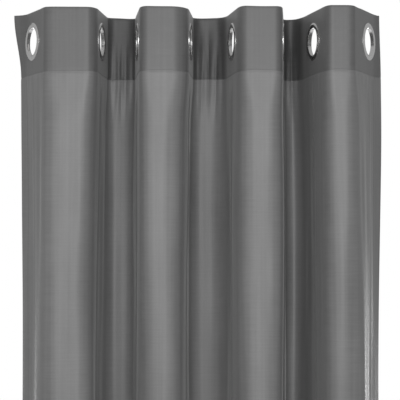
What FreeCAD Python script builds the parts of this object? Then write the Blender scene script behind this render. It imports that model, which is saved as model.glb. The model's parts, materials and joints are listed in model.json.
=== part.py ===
import FreeCAD, Part
import math
import os

# Eyelet-headed room curtain panel, standing in its folds on the line of its curtain rod.
# Millimetres. +X runs along the rod, +Y goes from the room towards the window, +Z is up.
# The origin lies on the eyelets' centre line, at the middle of the folded panel.
# The cloth is cut into vertical strips at its fold corners: front folds, back folds and
# the side strips between them. Every side strip carries one eyelet. A vertical hinge line
# at each corner lets the strips open and close like an accordion.

# ---- Driving dimensions: the finished panel ----
DROP = 2290.0              # top edge to bottom edge
EYELET_DROP = 43.0         # top edge down to the eyelets' centres
HEADING_DEPTH = 91.0       # depth of the turned-over heading
HEM_DEPTH = 75.0           # bottom hem, turned up at the back
SIDE_HEM = 25.0            # side hems, turned in at the back
CLOTH = 1.0                # one layer of lined cloth
STIFFENER = 0.8            # buckram band inside the heading
SEAM = 1.0                 # stitching allowance between the stiffener and the heading's foot

# ---- Driving dimensions: the folds, from left to right ----
EYELET_X = (-238.4, -142.0, -88.0, -15.0, 47.0, 117.4, 163.0, 240.0)
SIDE_TILT = (26.0, 6.9, 5.9, 4.5, 10.3, 3.4, 14.4, 24.2)   # degrees away from square to the rod
FRONT_Y = (-46.0, -50.0, -53.0, -59.0)                     # depth of each front fold
BACK_Y = (60.0, 57.0, 68.0)                                # depth of each back fold
LEFT_EDGE_Y = 50.0         # where the free edge of the first side strip stands
RIGHT_EDGE_Y = 33.0        # where the free edge of the last side strip stands
HINGE_GAP = 2.2            # a side strip stops this far from its hinge line

# ---- Driving dimensions: one two-piece metal eyelet ----
BORE_R = 20.0              # inside of the barrel
BARREL_R = 21.2            # outside of the barrel
FLANGE_R = 27.0            # outer edge of both flanges
BARREL_END = 2.4           # how far the barrel passes the cloth's middle on the back
FLANGE_RISE = 1.8          # crown of a flange above the cloth
FLANGE_RIM = 0.6           # height of a flange at its outer edge
BORE_LIP = 2.2             # the front flange's inner edge, from the cloth's middle
SOCKET_R = 20.4            # inner edge of the back ring's lip, just clear of the bore
SOCKET_LIP = 0.4           # thickness of that lip
CUT_R = 22.0               # hole punched through the cloth and the stiffener

# ---- Driving dimensions: the care label, a blank tab on the last side hem ----
LABEL_WIDTH = 22.0
LABEL_HEIGHT = 45.0
LABEL_THICK = 0.4
LABEL_RISE = 120.0         # bottom edge up to the label

# ---- Worked-out heights and layers ----
TOP = EYELET_DROP
BOTTOM = TOP - DROP
HEADING_FOOT = TOP - HEADING_DEPTH
HEM_TOP = BOTTOM + HEM_DEPTH
FACE_IN = STIFFENER / 2    # layers are stacked on the fold's middle surface, face side positive
FACE_OUT = FACE_IN + CLOTH
TURN_IN = FACE_IN - CLOTH  # a hem's turning lies against the back of the face layer

SIDES = len(EYELET_X)
PARTS_DIR = "parts"


def write(shape, node):
    """Export one closed part to its own STEP file."""
    if not shape.isValid():
        raise ValueError(node + " is not a valid solid")
    shape.exportStep(os.path.join(PARTS_DIR, node + ".step"))
    print(f"{node}: {len(shape.Solids)} solid, {shape.Volume / 1000:.2f} cm3")


def side_x(side, y):
    """Where side strip number `side` (0 is the first) crosses the depth y."""
    leans = -1 if side % 2 == 0 else 1
    return EYELET_X[side] + leans * y * math.tan(math.radians(SIDE_TILT[side]))


def fold_corners():
    """Plan points of the cloth's middle surface, from the left edge to the right edge."""
    depths = [LEFT_EDGE_Y]
    for side in range(SIDES):
        if side % 2 == 0:
            depths.append(FRONT_Y[side // 2])
        elif side < SIDES - 1:
            depths.append(BACK_Y[side // 2])
    depths.append(RIGHT_EDGE_Y)
    points = []
    for side in range(SIDES):
        points.append((side_x(side, depths[side]), depths[side]))
        points.append((side_x(side, depths[side + 1]), depths[side + 1]))
    return points


class Strip:
    """One flat strip of the folded panel: its own frame is s along the cloth and n off its face."""

    def __init__(self, start, end):
        self.start = start
        self.length = math.hypot(end[0] - start[0], end[1] - start[1])
        self.along = ((end[0] - start[0]) / self.length, (end[1] - start[1]) / self.length)
        self.face = (self.along[1], -self.along[0])

    def point(self, s, n, z):
        """A point at s along the strip, n off its middle surface and height z."""
        x = self.start[0] + self.along[0] * s + self.face[0] * n
        y = self.start[1] + self.along[1] * s + self.face[1] * n
        return FreeCAD.Vector(x, y, z)

    def slab(self, s, n, z):
        """A box between pairs of limits in s, n and z."""
        box = Part.makeBox(s[1] - s[0], n[1] - n[0], z[1] - z[0])
        # the box's own X lies along the cloth and its own -Y off the face, so it starts at n[1]
        turn = math.degrees(math.atan2(self.along[1], self.along[0]))
        box.Placement = FreeCAD.Placement(
            self.point(s[0], n[1], z[0]), FreeCAD.Rotation(FreeCAD.Vector(0, 0, 1), turn)
        )
        return box

    def rod(self, s, radius, z):
        """An upright cylinder on the middle surface."""
        return Part.makeCylinder(radius, z[1] - z[0], self.point(s, 0, z[0]))

    def punch(self, s, radius):
        """A level cylinder square through the strip at the eyelets' height."""
        reach = 10.0
        out = FreeCAD.Vector(self.face[0], self.face[1], 0)
        return Part.makeCylinder(radius, 2 * reach, self.point(s, -reach, 0), out)


def stiffener_band(strip, s):
    """The strip's share of the buckram band that stands inside the heading."""
    return strip.slab(s, (-FACE_IN, FACE_IN), (HEADING_FOOT + SEAM, TOP - CLOTH))


def cloth_layers(strip, s, hemmed_edge=None):
    """Face layer, turned-over heading, bottom hem and, at a free edge, the side hem."""
    layers = [
        strip.slab(s, (FACE_IN, FACE_OUT), (BOTTOM, TOP)),
        strip.slab(s, (-FACE_OUT, -FACE_IN), (HEADING_FOOT, TOP)),
        strip.slab(s, (-FACE_OUT, FACE_OUT), (TOP - CLOTH, TOP)),
        strip.slab(s, (TURN_IN, FACE_IN), (BOTTOM, HEM_TOP)),
    ]
    if hemmed_edge is not None:
        layers.append(strip.slab(hemmed_edge, (TURN_IN, FACE_IN), (BOTTOM, HEADING_FOOT)))
    return layers


def build_fold(strip, name):
    """A front or back fold. It reaches both hinge lines, with a rolled end on the heading there."""
    s = (0, strip.length)
    heading = (HEADING_FOOT, TOP)
    layers = cloth_layers(strip, s)
    layers += [strip.rod(end, FACE_OUT, heading) for end in s]
    band = stiffener_band(strip, s)
    cloth = layers[0].multiFuse(layers[1:]).removeSplitter().cut(band)
    write(cloth, "cloth_" + name)
    write(band, "stiffener_" + name)


def build_side(strip, name, first, last, eyelet_s):
    """A side strip, punched for its eyelet. It stops short of its hinge lines."""
    s = (0 if first else HINGE_GAP, strip.length if last else strip.length - HINGE_GAP)
    edge = None
    if first:
        edge = (0, SIDE_HEM)
    if last:
        edge = (strip.length - SIDE_HEM, strip.length)
    hole = strip.punch(eyelet_s, CUT_R)
    layers = cloth_layers(strip, s, edge)
    if edge is not None:
        # the free edge closes the heading like the mouth of a bag
        rim = (edge[0], edge[0] + CLOTH) if first else (edge[1] - CLOTH, edge[1])
        layers.append(strip.slab(rim, (-FACE_OUT, FACE_OUT), (HEADING_FOOT, TOP)))
    band_s = (s[0] + CLOTH if first else s[0], s[1] - CLOTH if last else s[1])
    cloth = layers[0].multiFuse(layers[1:]).removeSplitter().cut(hole)
    write(cloth, "cloth_" + name)
    write(stiffener_band(strip, band_s).cut(hole), "stiffener_" + name)


def revolved(strip, s, outline):
    """Turn a closed outline of (radius, n) lines and arcs about the eyelet's axis."""
    out = FreeCAD.Vector(strip.face[0], strip.face[1], 0)
    centre = strip.point(s, 0, 0)
    edges = []
    for step in outline:
        points = [centre + FreeCAD.Vector(0, 0, r) + out * n for r, n in step]
        if len(points) == 2:
            edges.append(Part.LineSegment(points[0], points[1]).toShape())
        else:
            edges.append(Part.Arc(points[0], points[1], points[2]).toShape())
    return Part.Face(Part.Wire(edges)).revolve(centre, out, 360)


def build_eyelet(strip, s, number):
    """Front half with its barrel, and the back ring that the barrel is rolled into."""
    crown = FACE_OUT + FLANGE_RISE
    rim = FACE_OUT + FLANGE_RIM
    crown_r = (BORE_R + FLANGE_R) / 2
    front = (
        ((BORE_R, -BARREL_END), (BORE_R, BORE_LIP)),
        ((BORE_R, BORE_LIP), (crown_r, crown), (FLANGE_R, rim)),
        ((FLANGE_R, rim), (FLANGE_R, FACE_OUT)),
        ((FLANGE_R, FACE_OUT), (BARREL_R, FACE_OUT)),
        ((BARREL_R, FACE_OUT), (BARREL_R, -BARREL_END)),
        ((BARREL_R, -BARREL_END), (BORE_R, -BARREL_END)),
    )
    lip = -BARREL_END - SOCKET_LIP
    back = (
        ((BARREL_R, -FACE_OUT), (FLANGE_R, -FACE_OUT)),
        ((FLANGE_R, -FACE_OUT), (FLANGE_R, -rim)),
        ((FLANGE_R, -rim), (crown_r, -crown), (SOCKET_R, lip)),
        ((SOCKET_R, lip), (SOCKET_R, -BARREL_END)),
        ((SOCKET_R, -BARREL_END), (BARREL_R, -BARREL_END)),
        ((BARREL_R, -BARREL_END), (BARREL_R, -FACE_OUT)),
    )
    write(revolved(strip, s, front), f"eyelet_front_{number}")
    write(revolved(strip, s, back), f"eyelet_back_{number}")


def build_label(strip):
    """The blank care label, sewn flat on the back of the last side hem."""
    margin = (SIDE_HEM - LABEL_WIDTH) / 2
    s = (strip.length - SIDE_HEM + margin, strip.length - margin)
    z = (BOTTOM + LABEL_RISE, BOTTOM + LABEL_RISE + LABEL_HEIGHT)
    write(strip.slab(s, (TURN_IN - LABEL_THICK, TURN_IN), z), "care_label")


def main():
    os.makedirs(PARTS_DIR, exist_ok=True)
    points = fold_corners()
    for side in range(SIDES):
        start = points[2 * side]
        end = points[2 * side + 1]
        strip = Strip(start, end)
        eyelet_s = math.hypot(EYELET_X[side] - start[0], start[1])
        build_side(strip, f"side_{side + 1}", side == 0, side == SIDES - 1, eyelet_s)
        build_eyelet(strip, eyelet_s, side + 1)
        if side == SIDES - 1:
            build_label(strip)
            continue
        kind = "front_fold" if side % 2 == 0 else "back_fold"
        fold = Strip(end, points[2 * side + 2])
        build_fold(fold, f"{kind}_{side // 2 + 1}")
        print(f"{kind}_{side // 2 + 1} width {fold.length:.1f}, {strip.length:.1f} for the side before it")


main()
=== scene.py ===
# %% [markdown]
# # An eyelet-headed room curtain panel
# A curtain panel is one wide sheet of cloth. Its top is turned over a stiff band, and metal
# eyelets are pressed through that heading, so that a rod can pass in and out of it and fold
# the cloth into upright pleats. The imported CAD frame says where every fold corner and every
# eyelet is. This lesson dresses that frame: cloth, buckram, eyelets, sewing thread and label.

# %% Load the frame
import math
import bpy
import numpy as np
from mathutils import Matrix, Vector
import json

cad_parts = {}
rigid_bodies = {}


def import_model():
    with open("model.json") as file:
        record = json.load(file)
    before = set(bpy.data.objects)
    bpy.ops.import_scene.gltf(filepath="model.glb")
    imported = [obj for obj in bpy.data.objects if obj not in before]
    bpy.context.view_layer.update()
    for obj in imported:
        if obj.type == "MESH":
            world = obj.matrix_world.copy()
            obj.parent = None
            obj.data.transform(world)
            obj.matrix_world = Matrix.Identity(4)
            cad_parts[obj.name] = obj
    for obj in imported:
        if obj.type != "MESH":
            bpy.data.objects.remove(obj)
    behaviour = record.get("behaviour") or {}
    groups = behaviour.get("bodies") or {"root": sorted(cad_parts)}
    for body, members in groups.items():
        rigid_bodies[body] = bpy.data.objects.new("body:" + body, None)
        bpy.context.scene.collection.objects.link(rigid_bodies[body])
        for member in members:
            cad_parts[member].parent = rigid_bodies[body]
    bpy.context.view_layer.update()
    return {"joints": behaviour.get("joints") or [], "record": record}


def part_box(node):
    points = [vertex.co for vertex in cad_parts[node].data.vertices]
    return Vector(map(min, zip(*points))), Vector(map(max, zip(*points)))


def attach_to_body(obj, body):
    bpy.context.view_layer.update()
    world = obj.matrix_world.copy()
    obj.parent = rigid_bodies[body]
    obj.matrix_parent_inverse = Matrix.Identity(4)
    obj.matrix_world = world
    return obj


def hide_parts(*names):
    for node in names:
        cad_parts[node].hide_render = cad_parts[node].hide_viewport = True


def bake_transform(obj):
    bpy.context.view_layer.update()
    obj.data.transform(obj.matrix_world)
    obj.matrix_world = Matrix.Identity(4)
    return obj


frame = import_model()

MM = 0.001

# %% [markdown]
# ## Heights and layers
# The panel's sizes are read from the CAD solids, so nothing here can drift from the frame.
# A front fold's box gives the top and bottom edges and the heading's thickness. The buckram's
# box gives the thickness of one cloth layer and the foot of the heading.

# %% Read the panel's sizes from the solids
fold_low, fold_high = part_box("cloth_front_fold_1")
band_low, band_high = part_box("stiffener_front_fold_1")
TOP, BOTTOM = fold_high.z, fold_low.z
HALF = (fold_high.y - fold_low.y) / 2          # the heading's half thickness
LAYER = TOP - band_high.z                      # one layer of cloth
SLOT = HALF - LAYER                            # half the slot that holds the buckram
HEADING_FOOT = band_low.z - 1 * MM             # the heading seam
HEADING = TOP - HEADING_FOOT
DROP = TOP - BOTTOM
HEM = 75 * MM                                  # bottom hem
SIDE_HEM = 25 * MM
print(f"drop {DROP:.3f} m, heading {HEADING:.3f} m, {2 * HALF / MM:.1f} mm thick at the heading")

# %% [markdown]
# ## The fold plan
# Seen from above, the cloth is a zigzag: side strips that carry the eyelets, joined by front
# and back folds. Each fold corner is a hinge of the frame, so its place is that joint's own
# pivot. The eyelets' places and the way they face come from the record's mounts.

# %% Corners, eyelets and free edges, seen from above
joints = {joint["name"]: joint for joint in frame["joints"]}
mounts = {mount["name"]: mount for mount in frame["record"]["mounts"]}
CORNERS = 14
EYELETS = 8


def corner(number):
    """Plan position of one fold corner, counted from 1 at the left."""
    return np.array(joints[f"corner_{number}_open"]["pos_m"][:2])


def corner_bodies(number):
    """The two bodies that meet at a fold corner, from left to right along the cloth."""
    joint = joints[f"corner_{number}_open"]
    pair = [joint["parent"], joint["child"]]
    return pair if number > CORNERS // 2 else pair[::-1]


def eyelet_frame(number):
    """Centre, direction along the cloth and direction off its face, in plan."""
    mount = mounts[f"eyelet_{number}"]
    face = np.array(mount["axis"][:2])
    wanted = -1 if number % 2 else 1
    face = face * (wanted if face[0] > 0 else -wanted)
    centre = np.array(mount["pos_m"][:2])
    centre = centre - face * centre[1] / face[1]
    return centre, np.array([-face[1], face[0]]), face


def free_edge(number, node, way):
    """Plan position of a free edge: along its side strip until the solid ends."""
    centre, along, face = eyelet_frame(number)
    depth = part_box(node)[1].y - HALF * abs(face[1])
    return centre + along * way * abs(depth / along[1])


STOPS = [free_edge(1, "cloth_side_1", -1)]     # where one cloth piece ends and the next starts
BENDS = []                                     # the one corner inside each cloth piece
KNEE = 31 * MM                                 # flat cloth kept round the outer eyelets
for number in range(1, EYELETS + 1):
    centre, along, face = eyelet_frame(number)
    if number > 1:
        BENDS.append(corner(2 * number - 2))
    else:
        BENDS.append(centre - along * KNEE)
    STOPS.append(centre)
    if number < EYELETS:
        BENDS.append(corner(2 * number - 1))
        STOPS.append((corner(2 * number - 1) + corner(2 * number)) / 2)
    else:
        BENDS.append(centre + along * KNEE)
STOPS.append(free_edge(EYELETS, "cloth_side_8", 1))
PIECES = len(BENDS)
print(PIECES, "cloth pieces between", len(STOPS), "stops")

# %% [markdown]
# ## The camera
# The camera stands well back with a long lens, below the rod, so that the pleats stay upright
# and the back of the heading sits lower than the front. It aims slightly up at the heading and
# the first half metre of cloth.

# %% Camera
VIEW_WIDTH = 0.569                             # width in view at the eyelets' plane
CAMERA_AWAY = 2.45
CAMERA_BELOW = 0.40                            # camera height below the top edge
AIM_Z = -0.2264                                # height at the middle of the view
camera = bpy.data.objects.new("camera", bpy.data.cameras.new("camera"))
bpy.context.scene.collection.objects.link(camera)
bpy.context.scene.camera = camera
camera.location = (0.0, -CAMERA_AWAY, TOP - CAMERA_BELOW)
aim = Vector((0.0, 0.0, AIM_Z)) - camera.location
camera.rotation_euler = aim.to_track_quat("-Z", "Y").to_euler()
camera.data.lens = camera.data.sensor_width * aim.length / VIEW_WIDTH
camera.data.clip_end = 60                      # metres, far enough for every other view
print(f"lens {camera.data.lens:.0f} mm")

# %% [markdown]
# ## How the cloth hangs
# One rule makes the whole sheet. At any height the plan of the cloth is the zigzag with its
# corners rounded by quadratic curves. In the heading the buckram keeps the corners tight. Below
# the seam they relax, some more than others, and the folds lean a little to one side. The
# numbers say how far each corner's curve reaches back along the cloth before it and forward
# along the cloth after it, in the heading and half a metre down, and how far it has drifted.
# They are listed. No cloth simulation stands behind them.

# %% Corner softness and drift
# reach before and after the corner in the heading, in mm, where the buckram chamfers some corners
TIGHT = [(13, 13), (4, 17), (12, 21), (10, 14), (14, 10), (19, 9), (22, 26), (13, 14),
         (14, 24), (26, 9), (9, 14), (12, 12), (12, 26), (20, 5), (8, 5), (13, 13)]
SETTLED = 0.56                                 # below the top edge by this much, folds keep their shape
# reach before and after the corner once settled, in mm, for the bends from left to right
SOFT = [(15, 15), (28, 27), (30, 34), (28, 19), (15, 22), (34, 24), (34, 32), (22, 23),
        (24, 30), (30, 33), (33, 22), (15, 13), (13, 30), (26, 17), (20, 28), (15, 15)]
# sideways drift once settled, in mm, of the stops and of the bends, from left to right
STOP_DRIFT = [0, 4, 0, -6, -3, 0, 0, -7, -3, 0, 0, 0, 2, 3, 5, 0, 0]
BEND_DRIFT = [2, 2, -2, -5, -1, 2, -7, -7, -1, 4, -4, 0, 2, 4, 5, 0]


def ramp(x, low, high):
    """0 below low, 1 above high, smooth between."""
    t = np.clip((x - low) / (high - low), 0, 1)
    return t * t * (3 - 2 * t)


LEFT_FLARE = 16 * MM                           # how far the left free edge swings forward
MOST_OF_RUN = 0.97                             # a corner's curve never takes a whole run


def left_lean(below):
    """The left free edge flares at the top corner and draws in below the heading."""
    return MM * (-6 + 11 * ramp(below, 0, HEADING) + 5 * ramp(below, HEADING, SETTLED))


def right_lean(below):
    return MM * (4 + 2 * ramp(below, 0, HEADING) - 6 * ramp(below, HEADING + 60 * MM, SETTLED))


def bend_curve(start, bend, end, before, after, count=25):
    """Points from start to end by way of a rounded bend."""
    way_in, way_out = bend - start, end - bend
    run_in, run_out = np.linalg.norm(way_in), np.linalg.norm(way_out)
    first = bend - way_in / run_in * min(before, run_in * MOST_OF_RUN)
    last = bend + way_out / run_out * min(after, run_out * MOST_OF_RUN)
    t = np.linspace(0, 1, count)[:, None]
    curve = (1 - t) ** 2 * first + 2 * t * (1 - t) * bend + t ** 2 * last
    lead_in = start + (first - start) * np.linspace(0, 1, 8, endpoint=False)[:, None]
    lead_out = last + (end - last) * np.linspace(0, 1, 9)[1:, None]
    return np.concatenate([lead_in, curve, lead_out])


def plan_at(below):
    """The rounded zigzag `below` metres under the top edge: one run of points for each piece."""
    fall = ramp(below, HEADING * 0.95, HEADING + 0.07) * 0.45 + ramp(below, HEADING, SETTLED) * 0.55
    stops = [p + np.array([d * MM * fall, 0]) for p, d in zip(STOPS, STOP_DRIFT)]
    bends = [p + np.array([d * MM * fall, 0]) for p, d in zip(BENDS, BEND_DRIFT)]
    stops[0] = stops[0] + np.array([left_lean(below), -LEFT_FLARE])
    stops[-1] = stops[-1] + np.array([right_lean(below), 0])
    runs = []
    for k in range(PIECES):
        before, after = (MM * (crisp + (soft - crisp) * fall)
                         for crisp, soft in zip(TIGHT[k], SOFT[k]))
        runs.append(bend_curve(stops[k], bends[k], stops[k + 1], before, after))
    return runs


def run_length(points):
    return np.linalg.norm(np.diff(points, axis=0), axis=1).sum()


LENGTHS = [run_length(run) for run in plan_at(0.0)]
MARKS = np.concatenate([[0], np.cumsum(LENGTHS)])      # developed position of every stop
WIDTH = MARKS[-1]
EYELET_MARKS = MARKS[1::2][:EYELETS]
print(f"finished width of the flat panel {WIDTH:.3f} m")

# %% [markdown]
# ## Ripples, puckers and the pull of the eyelets
# Real cloth is never a clean rule. Small height fields are added square to the sheet, from
# seeded lattices of random numbers, so that every run gives the same cloth. Long soft waves
# run down the skirt. Short puckers gather along the heading seam, most of all in the back folds,
# where the sewing draws the single cloth in, and a few sharp creases are pinched there at set
# places. A faint upright ridge hangs below every eyelet, where the cloth's weight goes into the
# metal.

# %% Small relief of the sheet
BACK_MARKS = (MARKS[4], MARKS[8], MARKS[12])           # middles of the back folds


def lattice(seed, columns=160, rows=64):
    """A smooth random field of about -1 to 1, read at (across, down) in lattice steps."""
    table = np.random.default_rng(seed).uniform(-1, 1, (columns, rows))

    def read(across, down):
        i, j = np.floor(across).astype(int), np.floor(down).astype(int)
        s, t = across - i, down - j
        s, t = s * s * (3 - 2 * s), t * t * (3 - 2 * t)
        a = table[i % columns, j % rows] * (1 - s) + table[(i + 1) % columns, j % rows] * s
        b = (table[i % columns, (j + 1) % rows] * (1 - s)
             + table[(i + 1) % columns, (j + 1) % rows] * s)
        return a * (1 - t) + b * t
    return read


long_waves, fine_waves = lattice(11), lattice(12)
pucker_waves, crease_waves = lattice(13), lattice(14)


def back_fold(mark, reach=26 * MM):
    """1 in the middle of a back fold, 0 outside it."""
    return sum(np.exp(-((mark - m) / reach) ** 4) for m in BACK_MARKS)


# each back fold's stop, then the places of its creases in mm from the fold's middle
PINCHES = {4: (-10, 1, 12), 8: (-15, -5, 5, 16), 12: (-3, 6)}
PINCH_RISE = 2.0                               # in mm
PINCH_WIDE = 3.4 * MM


def pinched(mark, below):
    """Sharp creases, in mm, that grow down to the seam and fade out under it."""
    grown = ramp(below, 25 * MM, HEADING - 12 * MM)
    faded = 1 - ramp(below, HEADING + 6 * MM, HEADING + 80 * MM)
    places = [MARKS[stop] + place * MM for stop, row in PINCHES.items() for place in row]
    creases = sum(np.exp(-((mark - place) / PINCH_WIDE) ** 2) for place in places)
    return PINCH_RISE * grown * faded * creases


OUTER_RIDGE, INNER_RIDGE = 0.4, 1.5            # in mm, at the outermost eyelets and the others
RIDGE_WIDE = 2.6 * MM


def relief(mark, below):
    """Height of the sheet off its rule, at developed positions `mark`, `below` the top edge."""
    skirt = ramp(below, HEADING - 5 * MM, HEADING + 120 * MM)
    down = np.full_like(mark, below)
    waves = 2.7 * long_waves(mark / 0.034, down / 0.31) + 0.65 * fine_waves(mark / 0.0125, down / 0.13)
    near_seam = math.exp(-((below - HEADING - 6 * MM) / (16 * MM if below > HEADING else 9 * MM)) ** 2)
    pucker = (0.35 + 1.0 * back_fold(mark)) * pucker_waves(mark / 0.0085, down / 0.06) * near_seam
    in_heading = 1 - ramp(below, HEADING, HEADING + 30 * MM)
    crease = 2.2 * crease_waves(mark / 0.013 + 3, down / 0.14)
    crease = crease * back_fold(mark) * in_heading * ramp(below, -5 * MM, 60 * MM)
    off_eyelet = np.abs(mark[:, None] - EYELET_MARKS).min(axis=1)
    flat = 1 if below > HEADING else ramp(off_eyelet, 29 * MM, 37 * MM)
    outermost = (mark < EYELET_MARKS[0] + 0.02) | (mark > EYELET_MARKS[-1] - 0.02)
    ridge = np.where(outermost, OUTER_RIDGE, INNER_RIDGE) * np.exp(-(off_eyelet / RIDGE_WIDE) ** 2)
    ridge = ridge * ramp(below, HEADING - 2 * MM, HEADING + 45 * MM)
    return (waves * skirt + (pucker + crease) * flat + ridge + pinched(mark, below)) * MM


ROW_POINTS = 1171                              # one about every millimetre of the width


def sheet_row(z):
    """The middle surface at height z: developed positions, plan points, directions off the face."""
    below = TOP - z
    marks, points = [], []
    for k, run in enumerate(plan_at(below)):
        steps = np.concatenate([[0], np.cumsum(np.linalg.norm(np.diff(run, axis=0), axis=1))])
        marks.append((MARKS[k] + steps / steps[-1] * LENGTHS[k])[:-1])
        points.append(run[:-1])
    marks.append([WIDTH])
    points.append(run[-1:])
    marks, points = np.concatenate(marks), np.concatenate(points)
    even = np.linspace(0, WIDTH, ROW_POINTS)
    points = np.stack([np.interp(even, marks, points[:, i]) for i in (0, 1)], axis=1)

    def face_of(path):
        along = np.gradient(path, even, axis=0)
        along /= np.linalg.norm(along, axis=1)[:, None]
        return np.stack([along[:, 1], -along[:, 0]], axis=1)

    points = points + face_of(points) * relief(even, below)[:, None]
    return even, points, face_of(points)


def level_wave(mark, z):
    """How far the top edge, the seam and the hem stray from a straight level line."""
    off_eyelet = np.abs(mark[:, None] - EYELET_MARKS).min(axis=1)
    wave = long_waves(mark / 0.034, 0 * mark + 7.5)
    top = 0.9 * ramp(z, TOP - 12 * MM, TOP) * wave
    near_seam = math.exp(-((z - HEADING_FOOT) / (12 * MM)) ** 2)
    seam = 0.9 * near_seam * fine_waves(mark / 0.021, 0 * mark + 3.5)
    hem = 1.6 * ramp(-z, -BOTTOM - 2.2 * HEM, -BOTTOM) * fine_waves(mark / 0.060, 0 * mark + 9.5)
    flat = ramp(off_eyelet, 29 * MM, 38 * MM) if z > HEADING_FOOT + 8 * MM else 1
    return MM * (top + seam + hem) * flat


ROWS = {}


def on_sheet(mark, z, off):
    """Points of the cloth at positions `mark`, height z and `off` metres off its middle surface."""
    key = round(z / MM, 4)
    if key not in ROWS:
        ROWS[key] = sheet_row(z)
    even, points, face = ROWS[key]
    x, y = (np.interp(mark, even, points[:, i] + face[:, i] * off) for i in (0, 1))
    return np.stack([x, y, z + level_wave(mark, z)], axis=-1)


print("relief ready; heading corner test", on_sheet(MARKS[:3], TOP, 0).round(4).tolist())

# %% [markdown]
# ## Mesh helpers
# Every soft piece is a closed skin round a folded strip. The skin is written as two surfaces
# with the same rows and columns, an outer and an inner one, that are stitched together along
# their four borders. Those borders are marked sharp so that the cut edges keep crisp shading.

# %% Closed skin from two surfaces
def finish_mesh(name, vertices, faces, uv=None, sharp_degrees=None):
    """A new object at the origin, with smooth shading and outward faces."""
    mesh = bpy.data.meshes.new(name)
    mesh.from_pydata([tuple(v) for v in vertices], [], [tuple(int(i) for i in f) for f in faces])
    mesh.validate()
    if uv is not None:
        layer = mesh.uv_layers.new(name="cloth_metres")
        loops = np.empty(len(mesh.loops), dtype=np.int32)
        mesh.loops.foreach_get("vertex_index", loops)
        layer.data.foreach_set("uv", np.asarray(uv, dtype=np.float32)[loops].ravel())
    mesh.polygons.foreach_set("use_smooth", [True] * len(mesh.polygons))
    if sharp_degrees is not None:
        mesh.set_sharp_from_angle(angle=math.radians(sharp_degrees))
    mesh.update()
    piece = bpy.data.objects.new(name, mesh)
    bpy.context.scene.collection.objects.link(piece)
    return piece


def outward(vertices, faces):
    """The same quads of a closed skin, turned to face out."""
    a, b, c, d = (vertices[faces[:, i]] - vertices.mean(axis=0) for i in range(4))
    volume = (np.einsum("ij,ij->i", a, np.cross(b, c))
              + np.einsum("ij,ij->i", a, np.cross(c, d))).sum()
    return faces[:, ::-1] if volume < 0 else faces


def skin(name, outer, inner, uv):
    """Close two (columns, rows, 3) surfaces into one skin. `outer` faces off the cloth."""
    columns, rows = outer.shape[:2]
    index = np.arange(columns * rows).reshape(columns, rows)
    under = index + columns * rows

    def quads(grid):
        corners = [grid[:-1, :-1], grid[1:, :-1], grid[1:, 1:], grid[:-1, 1:]]
        return np.stack(corners, axis=-1).reshape(-1, 4)

    def border(a, b):
        return np.stack([a[:-1], a[1:], b[1:], b[:-1]], axis=-1)

    faces = np.concatenate([
        quads(index), quads(under)[:, ::-1],
        border(index[0, :], under[0, :]), border(index[-1, ::-1], under[-1, ::-1]),
        border(index[::-1, 0], under[::-1, 0]), border(index[:, -1], under[:, -1]),
    ])
    vertices = np.concatenate([outer.reshape(-1, 3), inner.reshape(-1, 3)])
    both_uv = np.concatenate([uv.reshape(-1, 2)] * 2)
    return finish_mesh(name, vertices, outward(vertices, faces), both_uv, sharp_degrees=50)


print("mesh helpers ready")

# %% [markdown]
# ## The cloth's path from hem to heading
# Cut through the panel from front to back and the cloth draws one long line. It starts at the
# bottom edge, climbs the face, turns over the top of the buckram and comes down the back to the
# heading seam. The same list of (height, offset) pairs serves every column of every piece. The
# rows crowd together at the seam, round the eyelet holes and at the hem, where detail is.

# %% Rows of the folded cloth
CUT_R = 22 * MM                                # hole punched for an eyelet
SEAM_DIP = 0.35 * MM                           # how deep the stitching draws the face in


def heights(low, high, step):
    """Evenly spaced heights from high down to low, about one step apart."""
    return list(np.linspace(high, low, max(2, round((high - low) / step) + 1)))


hole_rows = [CUT_R * math.sin(a) for a in np.linspace(math.pi / 2, -math.pi / 2, 17)]
heading_rows = heights(CUT_R, TOP - HALF, 3 * MM)[:-1] + hole_rows
heading_rows += heights(HEADING_FOOT + 3 * MM, -CUT_R, 3 * MM)[1:-1]
heading_rows += heights(HEADING_FOOT, HEADING_FOOT + 3 * MM, 1 * MM)
skirt_rows = heights(HEADING_FOOT - 6 * MM, HEADING_FOOT, 1 * MM)[1:]
skirt_rows += heights(HEADING_FOOT - 66 * MM, HEADING_FOOT - 6 * MM, 4 * MM)[1:]
skirt_rows += heights(BOTTOM + HEM + 2 * MM, HEADING_FOOT - 66 * MM, 12 * MM)[1:]
hem_rows = [BOTTOM + HEM, BOTTOM + HEM - 2 * MM]
hem_rows += heights(BOTTOM + 2 * MM, BOTTOM + HEM - 2 * MM, 9 * MM)[1:]
hem_rows += [BOTTOM + 0.6 * MM, BOTTOM]

FACE_ROWS = heading_rows + skirt_rows + hem_rows
fold_angles = np.linspace(0, math.pi, 7)[1:-1]


def seam_dip(z):
    return SEAM_DIP * math.exp(-((z - HEADING_FOOT) / (1.6 * MM)) ** 2)


def cloth_path():
    """(height of outer, offset of outer, height of inner, offset of inner, distance down the cloth)."""
    path = []
    for z in reversed(heading_rows):                           # up the back of the heading
        path.append((z, -HALF, z, -SLOT, -(TOP - z)))
    for angle in fold_angles:                                  # over the buckram
        rise, out = math.sin(angle), -math.cos(angle)
        base = TOP - HALF
        path.append((base + HALF * rise, HALF * out, base + SLOT * rise, SLOT * out, HALF * out))
    for z in FACE_ROWS:                                        # down the face
        turned = LAYER * ramp(-z, -(BOTTOM + HEM), -(BOTTOM + HEM - 2 * MM))
        tip = 0.35 * MM if z == BOTTOM else 0.0                # the hem's fold is rounded, not square
        path.append((z, HALF - seam_dip(z) - tip, z, SLOT - turned + tip, TOP - z))
    return path


PATH = cloth_path()
print(len(PATH), "rows from the back of the heading to the hem")
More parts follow.
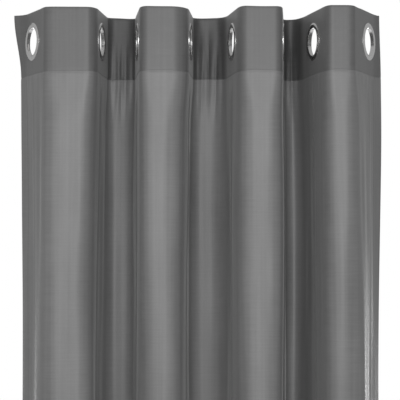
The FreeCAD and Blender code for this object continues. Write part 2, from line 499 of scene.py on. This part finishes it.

# %% [markdown]
# ## Cloth pieces
# The sheet is split at every eyelet and at the middle of every fold, so each piece crosses one corner
# only. The eyelet's hole is half in one piece and half in the next: the columns are pushed aside to
# make it, so no cut is needed and the rim stays closed.

# %% Build the cloth
COLUMN_STEP = 2.8 * MM
HOLE_EASE = 45 * MM                            # columns this far from an eyelet give way to its hole


def columns_of(k):
    """Developed positions of the piece's columns, from its first stop to its last."""
    count = max(8, round(LENGTHS[k] / COLUMN_STEP))
    return np.linspace(MARKS[k], MARKS[k + 1], count + 1)


def give_way(marks, k, z, radius):
    """Push columns off the eyelet's hole at height z. Odd k starts at an eyelet, even k ends at one."""
    if abs(z) >= radius:
        return marks
    hole = math.sqrt(radius ** 2 - z ** 2)
    eyelet = MARKS[k] if k % 2 else MARKS[k + 1]
    away = np.abs(marks - eyelet)
    pushed = np.where(away < HOLE_EASE, hole + away * (1 - hole / HOLE_EASE), away)
    return eyelet + pushed * (1 if k % 2 else -1)


def side_hem_turn(marks, z):
    """How far a side hem thickens the cloth at the back."""
    if z > HEADING_FOOT:
        return np.zeros_like(marks)
    from_edge = np.minimum(marks, WIDTH - marks)
    return LAYER * (1 - ramp(from_edge, SIDE_HEM - 1 * MM, SIDE_HEM + 0.5 * MM))


def cloth_piece(k):
    outer, inner, uv = [], [], []
    base = columns_of(k)
    for z_out, off_out, z_in, off_in, down in PATH:
        marks = give_way(base, k, z_out, CUT_R)
        turn = side_hem_turn(marks, z_out) if down > 0 else 0 * marks
        off_back = np.minimum(off_in, SLOT - turn)
        outer.append(on_sheet(marks, z_out, off_out))
        rows = [on_sheet(marks, z_in, off) for off in (SLOT, SLOT - LAYER)]
        share = (SLOT - off_back) / LAYER
        inner.append(rows[0] + (rows[1] - rows[0]) * share[:, None])
        uv.append(np.stack([marks, np.full_like(marks, down)], axis=-1))
    outer, inner, uv = (np.stack(grid, axis=1) for grid in (outer, inner, uv))
    return skin(f"cloth_piece_{k + 1}", outer, inner, uv)


cloth = [cloth_piece(k) for k in range(PIECES)]
print(len(cloth), "cloth pieces,", sum(len(p.data.polygons) for p in cloth), "faces")

# %% [markdown]
# ## Buckram
# The heading stands crisp because a stiff non-woven band fills it. The band is a thin skin of
# its own in the slot between the two layers, punched for the eyelets like the cloth. It is
# hidden when the panel is whole, yet it is what makes the top of the pleats boxy.

# %% Build the buckram
BAND_HALF = SLOT - 0.05 * MM                   # just clear of the cloth on both sides


def buckram_piece(k):
    marks = columns_of(k)[::2] if len(columns_of(k)) % 2 else columns_of(k)
    rows = [z for z in heading_rows if z > HEADING_FOOT + 1 * MM]
    rows[0] = TOP - LAYER - 0.2 * MM
    shifted = [give_way(marks, k, z, CUT_R) for z in rows]
    outer = np.stack([on_sheet(m, z, BAND_HALF) for m, z in zip(shifted, rows)], axis=1)
    inner = np.stack([on_sheet(m, z, -BAND_HALF) for m, z in zip(shifted, rows)], axis=1)
    uv = np.stack([np.stack([m, np.full_like(m, TOP - z)], axis=-1)
                   for m, z in zip(shifted, rows)], axis=1)
    return skin(f"buckram_piece_{k + 1}", outer, inner, uv)


buckram = [buckram_piece(k) for k in range(PIECES)]
print(len(buckram), "buckram pieces")

# %% [markdown]
# ## Eyelets
# A curtain eyelet is two pressings. The front one has a domed flange and a barrel. The back one
# is a domed ring that the barrel is rolled into. Both are turned shapes, so each is lathed from
# an outline of radius and height. A lathe gives even quads, which polished metal needs, because
# it shows every facet of a plain CAD mesh.

# %% Lathe the eyelets
FLANGE_R = (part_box("eyelet_front_4")[1].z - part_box("eyelet_front_4")[0].z) / 2
BORE_R = mounts["eyelet_4"]["dims"]["r_mm"] * MM
BARREL_R = BORE_R + 1.2 * MM
BARREL_END = 2.4 * MM                          # how far behind the cloth's middle the barrel ends
LIP = 0.4 * MM                                 # how deep the back ring's inner edge is
CROWN = HALF + 1.8 * MM                        # how far a flange stands out at its highest
RIM = HALF + 0.6 * MM                          # and at its outer edge
FRONT_LIP = HALF + 0.8 * MM                    # and, in front, at its bore
TURNS = 120


def arc_through(a, b, c, count=16):
    """Points of the circle arc from a to c by way of b."""
    (ax, ay), (bx, by), (cx, cy) = a, b, c
    d = 2 * (ax * (by - cy) + bx * (cy - ay) + cx * (ay - by))
    aa, bb, cc = ax**2 + ay**2, bx**2 + by**2, cx**2 + cy**2
    ux = (aa * (by - cy) + bb * (cy - ay) + cc * (ay - by)) / d
    uy = (aa * (cx - bx) + bb * (ax - cx) + cc * (bx - ax)) / d
    radius = math.hypot(ax - ux, ay - uy)
    turn = [math.atan2(y - uy, x - ux) for x, y in (a, b, c)]
    while turn[1] < turn[0]:
        turn[1] += 2 * math.pi
    while turn[2] < turn[1]:
        turn[2] += 2 * math.pi
    if turn[2] - turn[0] > 2 * math.pi:
        turn = [math.atan2(y - uy, x - ux) for x, y in (a, b, c)]
        while turn[1] > turn[0]:
            turn[1] -= 2 * math.pi
        while turn[2] > turn[1]:
            turn[2] -= 2 * math.pi
    return [(ux + radius * math.cos(t), uy + radius * math.sin(t))
            for t in np.linspace(turn[0], turn[2], count)]


def lathe(name, outline, number):
    """Turn a closed outline of (radius, offset) about one eyelet's axis."""
    centre, along, face = eyelet_frame(number)
    rings = []
    for turn in np.linspace(0, 2 * math.pi, TURNS, endpoint=False):
        c, s = math.cos(turn), math.sin(turn)
        rings.append([(centre[0] + along[0] * r * c + face[0] * n,
                       centre[1] + along[1] * r * c + face[1] * n, r * s) for r, n in outline])
    vertices = np.array(rings).reshape(-1, 3)
    size = len(outline)
    faces = []
    for i in range(TURNS):
        for j in range(size):
            a, b = i * size + j, i * size + (j + 1) % size
            c, d = (i + 1) % TURNS * size + (j + 1) % size, (i + 1) % TURNS * size + j
            faces.append((a, b, c, d))
    return finish_mesh(name, vertices, outward(vertices, np.array(faces)), sharp_degrees=40)


MIDDLE_R = (BORE_R + FLANGE_R) / 2
front_outline = [(BORE_R, -BARREL_END)]
front_outline += arc_through((BORE_R, FRONT_LIP), (MIDDLE_R, CROWN), (FLANGE_R, RIM))
front_outline += [(FLANGE_R, HALF), (BARREL_R, HALF), (BARREL_R, -BARREL_END)]
SOCKET_R = BORE_R + 0.4 * MM
back_outline = [(BARREL_R, -HALF), (FLANGE_R, -HALF)]
back_outline += arc_through((FLANGE_R, -RIM), (MIDDLE_R, -CROWN), (SOCKET_R, -BARREL_END - LIP))
back_outline += [(SOCKET_R, -BARREL_END), (BARREL_R, -BARREL_END)]

eyelet_fronts = [lathe(f"eyelet_face_{n}", front_outline, n) for n in range(1, EYELETS + 1)]
eyelet_backs = [lathe(f"eyelet_ring_{n}", back_outline, n) for n in range(1, EYELETS + 1)]
print(f"{EYELETS} eyelets, bore {2 * BORE_R / MM:.0f} mm, flange {2 * FLANGE_R / MM:.0f} mm")

# %% [markdown]
# ## Shader maths
# A shader is a chain of small sums. `Signal` wraps one number travelling between nodes, so that
# an expression such as `1 - mask * 0.2` adds the Math nodes by itself. `Shader` makes every other
# node with one method: its type, its settings, then the values or links of its sockets.

# %% Signal and Shader
class Signal:
    """One number on its way through a shader."""

    def __init__(self, shader, socket):
        self.shader, self.socket = shader, socket

    def sum(self, operation, a, b):
        return self.shader.add("ShaderNodeMath", {"operation": operation}, {0: a, 1: b})[0]

    def __add__(self, other): return self.sum("ADD", self, other)
    def __radd__(self, other): return self.sum("ADD", other, self)
    def __sub__(self, other): return self.sum("SUBTRACT", self, other)
    def __rsub__(self, other): return self.sum("SUBTRACT", other, self)
    def __mul__(self, other): return self.sum("MULTIPLY", self, other)
    def __rmul__(self, other): return self.sum("MULTIPLY", other, self)
    def __truediv__(self, other): return self.sum("DIVIDE", self, other)
    def __abs__(self): return self.sum("ABSOLUTE", self, 0.0)
    def below(self, other): return self.sum("LESS_THAN", self, other)
    def wave(self): return self.sum("SINE", self, 0.0)

    def clamped(self):
        return self.shader.add("ShaderNodeMath", {"operation": "ADD", "use_clamp": True},
                               {0: self, 1: 0.0})[0]


class Shader:
    """A material under construction."""

    def __init__(self, name, **constants):
        self.material = bpy.data.materials.new(name)
        self.material.use_nodes = True
        self.tree = self.material.node_tree
        self.surface = self.tree.nodes["Principled BSDF"]
        for socket, value in constants.items():
            self.surface.inputs[socket.replace("_", " ")].default_value = value

    def add(self, kind, settings, sockets):
        node = self.tree.nodes.new(kind)
        for name, value in settings.items():
            setattr(node, name, value)
        for key, value in sockets.items():
            self.feed(node.inputs[key], value)
        return [Signal(self, out) for out in node.outputs]

    def feed(self, socket, value):
        if isinstance(value, Signal):
            self.tree.links.new(value.socket, socket)
        else:
            socket.default_value = value

    def surface_gets(self, **links):
        for socket, value in links.items():
            self.feed(self.surface.inputs[socket.replace("_", " ")], value)

    def uv(self):
        found = self.add("ShaderNodeUVMap", {"uv_map": "cloth_metres"}, {})[0]
        return self.add("ShaderNodeSeparateXYZ", {}, {0: found})[:2]

    def place(self):
        return self.add("ShaderNodeTexCoord", {}, {})[3]

    def vector(self, x, y, z=0.0):
        return self.add("ShaderNodeCombineXYZ", {}, {0: x, 1: y, 2: z})[0]

    def noise(self, where, scale, detail=2.0, roughness=0.5):
        return self.add("ShaderNodeTexNoise", {}, {"Vector": where, "Scale": scale, "Detail": detail,
                                                   "Roughness": roughness})[0]

    def blend(self, share, low, high):
        """A colour between two others."""
        node = self.tree.nodes.new("ShaderNodeMix")
        node.data_type = "RGBA"
        node.clamp_factor = True
        self.feed(node.inputs[0], share)
        self.feed(node.inputs[6], low)
        self.feed(node.inputs[7], high)
        return Signal(self, node.outputs[2])

    def bump(self, height, depth, strength=1.0):
        return self.add("ShaderNodeBump", {}, {"Strength": strength, "Distance": depth,
                                               "Height": height})[0]


def grey(value, warmth=0.0):
    return (value * (1 + warmth), value, value * (1 - warmth), 1.0)


print("shader helpers ready")

# %% [markdown]
# ## The cloth's finish
# The fabric is a charcoal polyester with a faint satin sheen. Its yarns are finer than half a
# millimetre and run with the cloth, so the weave reads the developed map in metres, which every
# piece shares. Thicker weft yarns leave short level slubs. The heading looks darker than the
# skirt, since it is two layers and a band thick and no light comes through it. It is duller
# again near the back folds, where a rod and the pleats would shade it. Both are paint here: no
# light passes through this cloth, and the shade stays where it is in any other light.

# %% Cloth material
YARN = 0.38 * MM
CLOTH_DARK, CLOTH_LIGHT = 0.128, 0.190
# painted shade: the whole heading is darker than the skirt, in place of light that would come through
# the skirt but not through the heading
HEADING_SHADE = 0.70
RECESS_REACH = 38 * MM                         # how near a back fold's middle the heading's face gets painted shade
# strength of that painted shade
RECESS_SHADE = 1.15
CONTRAST = 2.2                                 # spreads the mixed noise over the two cloth tones
FACE_SIDE = 1e4                                # turns "down" into 1 on the face, 0 on the back
HEADING_GREY = 0.2                             # top of the grey scale that the heading is read on


def cloth_material():
    s = Shader("charcoal_satin_weave", Roughness=0.5, Sheen_Weight=0.22, Sheen_Roughness=0.35,
               Specular_IOR_Level=0.42)
    across, down = s.uv()
    turn = 2 * math.pi / YARN
    weave = (across * turn).wave() * (down * turn).wave()
    slubs = s.noise(s.vector(across * 24.0, down * 430.0), 1.0, 1.0)
    streaks = s.noise(s.vector(across * 210.0, down * 3.0), 1.0, 2.0)
    cloudy = s.noise(s.vector(across * 16.0, down * 9.0), 1.0, 4.0, 0.6)
    in_heading = abs(down).below(HEADING)
    tone = cloudy * 0.4 + slubs * 0.25 + streaks * 0.35
    tone = (tone - 0.5) * CONTRAST + 0.5
    # painted shade on the heading's face near each back fold's middle, where a rod and the pleats would
    # shade it
    recess = sum(((1 - abs(across - float(mark)) / RECESS_REACH) * 2.0).clamped()
                 for mark in BACK_MARKS)
    tone_heading = tone - recess * (down * FACE_SIDE).clamped() * RECESS_SHADE
    # the skirt's tones, then the heading's, darkened by painted shade
    skirt = s.blend(tone, grey(CLOTH_DARK), grey(CLOTH_LIGHT))
    light = (CLOTH_LIGHT - CLOTH_DARK) * HEADING_SHADE
    heading = s.blend((tone_heading * light + CLOTH_DARK * HEADING_SHADE) * (1 / HEADING_GREY),
                      grey(0.0), grey(HEADING_GREY))
    relief_height = weave * 0.12 + slubs * 0.2 + streaks * 0.45
    s.surface_gets(Base_Color=s.blend(in_heading, skirt, heading), Roughness=0.37 + slubs * 0.14,
                   Normal=s.bump(relief_height, 0.12 * MM, 0.5))
    return s.material


CLOTH = cloth_material()
print("cloth:", len(CLOTH.node_tree.nodes), "nodes")

# %% [markdown]
# ## Metal, buckram, thread and label finishes
# The eyelets are polished plate with faint handling marks that only change its gloss. Buckram is
# a felted off-white web. The sewing thread is twisted, a touch darker than the cloth. The label
# is a blank satin tape with fine ribs.

# %% The other materials
def eyelet_material():
    s = Shader("polished_eyelet_plate", Metallic=1.0, Base_Color=grey(0.74, 0.004))
    smear = s.noise(s.place(), 160.0, 4.0, 0.6)
    scratches = s.noise(s.place(), 2600.0, 2.0)
    s.surface_gets(Roughness=0.16 + smear * 0.14 + scratches * 0.05,
                   Normal=s.bump(smear, 0.05 * MM, 0.15))
    return s.material


def buckram_material():
    s = Shader("buckram_web", Roughness=0.85)
    across, down = s.uv()
    web = s.noise(s.vector(across * 1.0, down * 1.0), 1400.0, 4.0, 0.7)
    s.surface_gets(Base_Color=s.blend(web, grey(0.55, 0.03), grey(0.78, 0.03)),
                   Normal=s.bump(web, 0.2 * MM, 0.6))
    return s.material


def thread_material():
    s = Shader("charcoal_thread", Roughness=0.6, Sheen_Weight=0.15)
    fibre = s.noise(s.place(), 5200.0, 2.0)
    s.surface_gets(Base_Color=s.blend(fibre, grey(0.075), grey(0.16)),
                   Normal=s.bump(fibre, 0.08 * MM, 0.6))
    return s.material


RIB_PITCH = 0.6 * MM


def label_material():
    s = Shader("blank_satin_tape", Roughness=0.45, Sheen_Weight=0.2)
    across, down = s.uv()
    rib = (down * (2 * math.pi / RIB_PITCH)).wave() * 0.5 + 0.5
    soil = s.noise(s.vector(across * 90.0, down * 90.0), 1.0, 3.0)
    s.surface_gets(Base_Color=s.blend(soil, grey(0.70, 0.02), grey(0.82, 0.02)),
                   Normal=s.bump(rib, 0.05 * MM, 0.5))
    return s.material


PLATE, BUCKRAM = eyelet_material(), buckram_material()
THREAD, TAPE = thread_material(), label_material()
eyelets = eyelet_fronts + eyelet_backs
for pieces_of, material in ((cloth, CLOTH), (buckram, BUCKRAM), (eyelets, PLATE)):
    for piece in pieces_of:
        piece.data.materials.append(material)
print("materials on", len(cloth) + len(buckram) + 2 * EYELETS, "pieces")

# %% [markdown]
# ## Stitches by Geometry Nodes
# Sewing is one small shape repeated thousands of times along a line, which is what Geometry
# Nodes are for. A guide line lies on the cloth. The tree turns it into a curve, spaces points
# along it at the stitch pitch, stands one stitch on each with a little seeded unevenness, and
# realises them as plain mesh. One tree serves every row, with its sizes as named inputs.

# %% The stitching tree
STITCH_PITCH = 3.4 * MM
STITCH_LONG = 2.5 * MM
STITCH_THICK = 0.55 * MM
FIRST_SEED = 5


def stitching_tree():
    tree = bpy.data.node_groups.new("stitching", "GeometryNodeTree")
    face = tree.interface
    face.new_socket("Geometry", in_out="OUTPUT", socket_type="NodeSocketGeometry")
    face.new_socket("Guide", in_out="INPUT", socket_type="NodeSocketGeometry")
    for name, value in (("Pitch", STITCH_PITCH), ("Stitch length", STITCH_LONG),
                        ("Thread thickness", STITCH_THICK)):
        face.new_socket(name, in_out="INPUT", socket_type="NodeSocketFloat").default_value = value
    face.new_socket("Seed", in_out="INPUT", socket_type="NodeSocketInt").default_value = FIRST_SEED
    face.new_socket("Material", in_out="INPUT", socket_type="NodeSocketMaterial")
    nodes, links = tree.nodes, tree.links

    def add(kind, sockets=None, **settings):
        node = nodes.new(kind)
        for name, value in settings.items():
            setattr(node, name, value)
        for key, value in (sockets or {}).items():
            if isinstance(value, bpy.types.NodeSocket):
                links.new(value, node.inputs[key])
            else:
                node.inputs[key].default_value = value
        return node

    given = add("NodeGroupInput").outputs
    line = add("GeometryNodeMeshToCurve", {"Mesh": given["Guide"]})
    spaced = add("GeometryNodeResampleCurve", {"Curve": line.outputs[0], "Length": given["Pitch"]},
                 mode="LENGTH")
    tangent = add("GeometryNodeInputTangent")
    turned = add("FunctionNodeAlignRotationToVector", {"Vector": tangent.outputs[0]}, axis="X")
    ball = add("GeometryNodeMeshUVSphere", {"Segments": 6, "Rings": 5, "Radius": 0.5})
    size = add("ShaderNodeCombineXYZ", {"X": given["Stitch length"], "Y": given["Thread thickness"],
                                        "Z": given["Thread thickness"]})
    stitch = add("GeometryNodeTransform", {"Geometry": ball.outputs["Mesh"], "Scale": size.outputs[0]})
    smooth = add("GeometryNodeSetShadeSmooth", {"Geometry": stitch.outputs[0]})
    uneven = add("FunctionNodeRandomValue", {"Min": (0.88, 0.85, 0.85), "Max": (1.06, 1.1, 1.1),
                                             "Seed": given["Seed"]}, data_type="FLOAT_VECTOR")
    stand = add("GeometryNodeInstanceOnPoints",
                {"Points": spaced.outputs[0], "Instance": smooth.outputs[0],
                 "Rotation": turned.outputs[0], "Scale": uneven.outputs[0]})
    real = add("GeometryNodeRealizeInstances", {"Geometry": stand.outputs[0]})
    coloured = add("GeometryNodeSetMaterial", {"Geometry": real.outputs[0],
                                               "Material": given["Material"]})
    add("NodeGroupOutput", {0: coloured.outputs[0]})
    return tree


STITCHING = stitching_tree()
print("stitching tree inputs:", [i.name for i in STITCHING.interface.items_tree if i.in_out == "INPUT"])

# %% [markdown]
# ## Rows of sewing
# Each cloth piece gets the rows that cross it: the heading seam on the face and the back, the
# bottom hem, and down the free edges the side hems. A row starts and ends half a stitch inside
# its piece, so no stitch straddles two pieces.

# %% Sew the rows
SEW_DEPTH = 0.12 * MM                          # the thread's middle stands this far off the cloth


def level_row(k, z, off):
    marks = np.arange(MARKS[k] + STITCH_PITCH / 2, MARKS[k + 1] - STITCH_PITCH / 4, STITCH_PITCH / 2)
    return on_sheet(marks, z, off)


def upright_row(mark, off):
    down = np.arange(HEADING_FOOT - 6 * MM, BOTTOM + 4 * MM, -12 * MM)
    return np.concatenate([on_sheet(np.array([mark]), z, off) for z in down])


def sewing_lines(k):
    front, back = HALF - SEAM_DIP + SEW_DEPTH, -HALF - SEW_DEPTH
    seam_z, hem_z = HEADING_FOOT + 1.2 * MM, BOTTOM + HEM - 4 * MM
    lines = [level_row(k, seam_z, front), level_row(k, seam_z, back)]
    lines += [level_row(k, hem_z, HALF + SEW_DEPTH), level_row(k, hem_z, SLOT - 2 * LAYER - SEW_DEPTH)]
    if k in (0, PIECES - 1):
        mark = SIDE_HEM - 4 * MM if k == 0 else WIDTH - SIDE_HEM + 4 * MM
        lines += [upright_row(mark, HALF + SEW_DEPTH), upright_row(mark, SLOT - 2 * LAYER - SEW_DEPTH)]
    return lines


def sew(k):
    vertices, edges = [], []
    for line in sewing_lines(k):
        edges += [(len(vertices) + i, len(vertices) + i + 1) for i in range(len(line) - 1)]
        vertices += [tuple(p) for p in line]
    mesh = bpy.data.meshes.new(f"sewing_guide_{k + 1}")
    mesh.from_pydata(vertices, edges, [])
    guide = bpy.data.objects.new(f"sewing_guide_{k + 1}", mesh)
    bpy.context.scene.collection.objects.link(guide)
    modifier = guide.modifiers.new("stitching", "NODES")
    modifier.node_group = STITCHING
    for item in STITCHING.interface.items_tree:
        if item.in_out == "INPUT" and item.name == "Seed":
            modifier[item.identifier] = FIRST_SEED + k
        if item.in_out == "INPUT" and item.name == "Material":
            modifier[item.identifier] = THREAD
    seen = guide.evaluated_get(bpy.context.evaluated_depsgraph_get())
    sewn = bpy.data.objects.new(f"stitches_{k + 1}", bpy.data.meshes.new_from_object(seen))
    bpy.data.objects.remove(guide)
    bpy.context.scene.collection.objects.link(sewn)
    return sewn


stitches = [sew(k) for k in range(PIECES)]
print(sum(len(s.data.polygons) for s in stitches), "faces of sewing thread")

# %% [markdown]
# ## The care label
# A blank tape is sewn to the back of the right-hand side hem. It is a small sheet that lifts a
# little at its foot, built from the same skin helper so that it follows the hem behind it.

# %% Build the label
label_low, label_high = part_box("care_label")
LABEL_TALL = label_high.z - label_low.z
LABEL_WIDE = 22 * MM
LABEL_THICK = 0.3 * MM
LABEL_LIFT = 2.5 * MM                          # how far its foot stands off the side hem


def label_piece():
    start = WIDTH - SIDE_HEM + (SIDE_HEM - LABEL_WIDE) / 2
    marks = np.linspace(start, start + LABEL_WIDE, 12)
    outer, inner, uv = [], [], []
    for z in np.linspace(label_high.z, label_low.z, 24):
        lift = LABEL_LIFT * ((label_high.z - z) / LABEL_TALL) ** 3
        back = SLOT - 2 * LAYER - 0.05 * MM - lift
        outer.append(on_sheet(marks, z, back))
        inner.append(on_sheet(marks, z, back - LABEL_THICK))
        uv.append(np.stack([marks, np.full_like(marks, label_high.z - z)], axis=-1))
    outer, inner, uv = (np.stack(grid, axis=1) for grid in (outer, inner, uv))
    return skin("blank_care_label", outer, inner, uv)


label = label_piece()
label.data.materials.append(TAPE)
print(f"label {LABEL_WIDE / MM:.0f} x {LABEL_TALL / MM:.0f} mm")

# %% [markdown]
# ## Riding on the frame
# The two outer pieces ride on the first and last side strips. Every piece between them crosses one fold
# corner. For each of the corner's two bodies a point is worked out on its strip, short of the piece's
# end, but nothing uses it: these pieces keep their place in the world and ride on no body.

# %% Ride and hide the frame's solids
FOLD_REACH = 20 * MM                           # how far along a fold that point lies from its corner
WALL_REACH = 26 * MM                           # how far along a side strip it lies
NEARLY_ALL = 0.94                              # the most of a strip that this reach may take


def attach(piece, k):
    if k in (0, PIECES - 1):
        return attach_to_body(piece, "side_1" if k == 0 else "side_8")
    before, after = corner_bodies(k)
    bend = BENDS[k]
    for body, stop in ((before, STOPS[k]), (after, STOPS[k + 1])):
        reach = WALL_REACH if body.startswith("side") else FOLD_REACH
        away = stop - bend
        far = np.linalg.norm(away)
        bend + away / far * min(reach, NEARLY_ALL * far)
    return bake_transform(piece)


def own_node(k):
    """The CAD strip that cloth piece k stands for, as part of a name."""
    if k == 0:
        return "side_1"
    fold, side = sorted(corner_bodies(k))
    return fold if k % 2 else side


def cut_area(k):
    """Piece k's share of the cut, less the hem's and the side hems' turnings.

    A hem is one thicker skin here, so its turning isn't there to be measured. With the turnings
    counted, the two end pieces would fall under the least share of the cut that is allowed.
    """
    return LENGTHS[k] * (DROP + HEADING)


for k in range(PIECES):
    for piece in (cloth[k], buckram[k], stitches[k]):
        attach(piece, k)
    if k < PIECES - 1:
        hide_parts("cloth_" + own_node(k))
        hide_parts("stiffener_" + own_node(k))
    else:
        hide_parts("cloth_side_8")
        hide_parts("stiffener_side_8")
    cut_area(k)

for number in range(1, EYELETS + 1):
    for piece, node in ((eyelet_fronts[number - 1], "front"), (eyelet_backs[number - 1], "back")):
        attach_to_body(piece, f"side_{number}")
        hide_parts(f"eyelet_{node}_{number}")

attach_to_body(label, "side_8")
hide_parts("care_label")

# %% [markdown]
# ## Studio
# A pale round floor lies just under the hem. A white world lights the folds evenly, so that the
# hollows darken by themselves. The camera sees that world at full white, as a plain background,
# while it lights the cloth at less than half of that. One broad soft light from the front models
# the pleats, a small one fills the left, and two low ones behind light the back.

# %% Floor, world and light
FLOOR_DROP = 15 * MM
FLOOR_R = 2.6
AMBIENT = 0.42                                 # the world's strength as a light
WHITE = 1.0                                    # its strength as the background
MIX_LOW, MIX_HIGH = 2, 3                       # a Mix node's number inputs


def studio_floor():
    sides = 96
    ring = [(FLOOR_R * math.cos(a), FLOOR_R * math.sin(a), BOTTOM - FLOOR_DROP)
            for a in np.linspace(0, 2 * math.pi, sides, endpoint=False)]
    mesh = bpy.data.meshes.new("floor")
    mesh.from_pydata(ring, [], [list(range(sides))])
    floor = bpy.data.objects.new("floor", mesh)
    bpy.context.scene.collection.objects.link(floor)
    s = Shader("pale_floor", Roughness=0.7)
    speck = s.noise(s.place(), 30.0, 3.0)
    s.surface_gets(Base_Color=s.blend(speck, grey(0.80), grey(0.84)))
    mesh.materials.append(s.material)
    return floor


studio_floor()

world = bpy.data.worlds.new("studio")
world.use_nodes = True
sky = world.node_tree.nodes["Background"]
seen = world.node_tree.nodes.new("ShaderNodeLightPath").outputs["Is Camera Ray"]
strength = world.node_tree.nodes.new("ShaderNodeMix")
strength.inputs[MIX_LOW].default_value = AMBIENT
strength.inputs[MIX_HIGH].default_value = WHITE
world.node_tree.links.new(seen, strength.inputs[0])
world.node_tree.links.new(strength.outputs[0], sky.inputs["Strength"])
sky.inputs["Color"].default_value = (1, 1, 1, 1)
bpy.context.scene.world = world
bpy.context.scene.view_settings.view_transform = "Standard"


def soft_light(name, place, target, size, power):
    light = bpy.data.lights.new(name, "AREA")
    light.shape, light.size, light.energy = "DISK", size, power
    lamp = bpy.data.objects.new(name, light)
    bpy.context.scene.collection.objects.link(lamp)
    lamp.location = place
    lamp.visible_camera = False
    lamp.rotation_euler = (Vector(target) - Vector(place)).to_track_quat("-Z", "Y").to_euler()
    return lamp


# name, place, what it points at, diameter in metres, power in watts
LAMPS = [("key", (0.12, -2.3, 0.0), (0, 0, -0.25), 1.2, 26.5),
         ("back light", (-0.95, 2.3, -0.8), (0, 0, -0.9), 1.2, 22),
         ("back light", (0.95, 2.3, -0.8), (0, 0, -0.9), 1.2, 22),
         ("left fill", (-0.75, -1.3, -0.3), (-0.2, 0, -0.3), 0.4, 3.4)]
lamps = [soft_light(*lamp) for lamp in LAMPS]
print(len(lamps), "soft lights")

# %% [markdown]
# ## Finish

# %% Finish
import json
